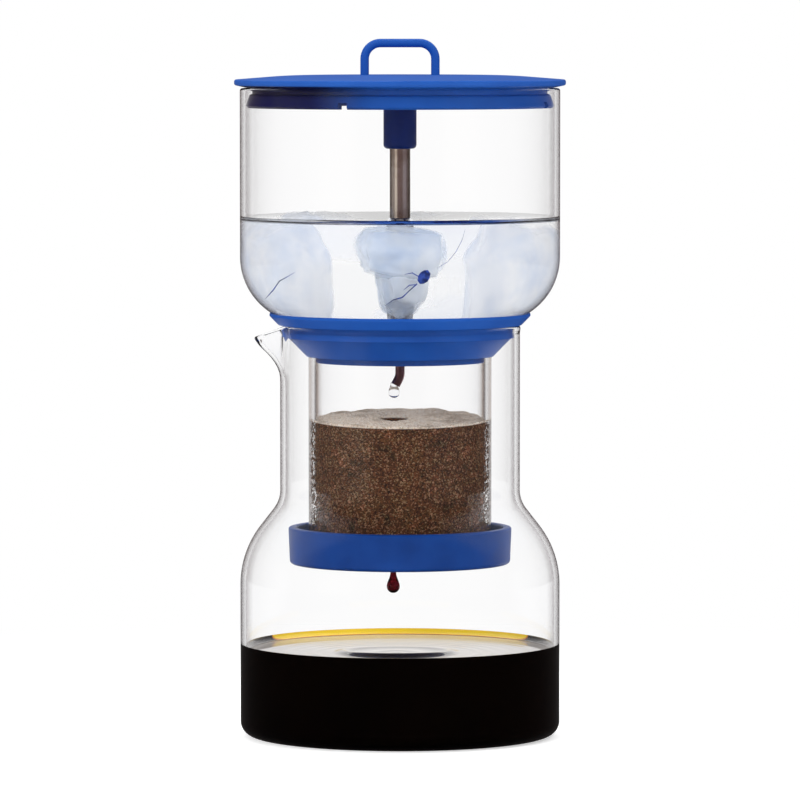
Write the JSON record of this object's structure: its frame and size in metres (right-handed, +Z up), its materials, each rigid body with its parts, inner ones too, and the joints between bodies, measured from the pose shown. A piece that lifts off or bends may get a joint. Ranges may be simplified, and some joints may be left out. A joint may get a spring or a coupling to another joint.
{
  "type": "cold brew coffee maker",
  "caption": "Stacked cold-drip coffee maker: glass water vessel with a needle drip valve, glass chamber for grounds, and a glass carafe with a pouring lip.",
  "frame": {"origin": "centre of the carafe's foot, in the plane it stands on", "axes": "+Z up the common axis of the stacked vessels; the pouring lip points to -X"},
  "size_m": [0.1272, 0.1272, 0.2679],
  "materials": {
    "clear_glass": "clear, fire-polished",
    "blue_silicone": "satin silicone",
    "dark_blue_silicone": "satin silicone",
    "steel": "brushed",
    "spout_steel": "brushed, coffee-stained",
    "steel_mesh": "woven",
    "white_bush": "turned",
    "black_rubber": "moulded"
  },
  "bodies": {
    "carafe": {"carafe": "clear_glass"},
    "chamber": {"neck_seal": "blue_silicone", "chamber_tube": "clear_glass"},
    "chamber_base": {"base_dish": "blue_silicone"},
    "filter": {"filter_ring": "steel", "filter_plate": "steel", "filter_mesh": "steel_mesh"},
    "tower": {"water_tower": "clear_glass", "valve_grommet": "blue_silicone", "valve_tube": "steel", "valve_seat": "steel", "drip_spout": "spout_steel", "stem_bush": "white_bush", "stem_o_ring": "black_rubber"},
    "needle": {"needle_stem": "steel"},
    "knob": {"knob_core": "white_bush", "knob_sleeve": "dark_blue_silicone", "set_screw": "steel"},
    "lid": {"lid": "blue_silicone"}
  },
  "joints": [
    {"name": "chamber_lift", "type": "slide", "parent": "carafe", "child": "chamber", "axis": [0, 0, 1], "range_m": [0, 0.11]},
    {"name": "base_pull", "type": "slide", "parent": "chamber", "child": "chamber_base", "axis": [0, 0, 1], "range_m": [-0.018, 0]},
    {"name": "filter_lift", "type": "slide", "parent": "chamber_base", "child": "filter", "axis": [0, 0, 1], "range_m": [0, 0.012]},
    {"name": "tower_lift", "type": "slide", "parent": "chamber", "child": "tower", "axis": [0, 0, 1], "range_m": [0, 0.04]},
    {"name": "needle_rise", "type": "slide", "parent": "tower", "child": "needle", "axis": [0, 0, 1], "range_m": [-0.0005, 0.0015]},
    {"name": "valve_turn", "type": "hinge", "parent": "needle", "child": "knob", "pos_m": [0, 0, 0.238], "axis": [0, 0, 1], "range_deg": [-180, 540]},
    {"name": "lid_lift", "type": "slide", "parent": "tower", "child": "lid", "axis": [0, 0, 1], "range_m": [0, 0.04]}
  ],
  "couplings": [
    {"joint": "valve_turn", "follows": "needle_rise", "rad_per_m": 6283.2}
  ]
}
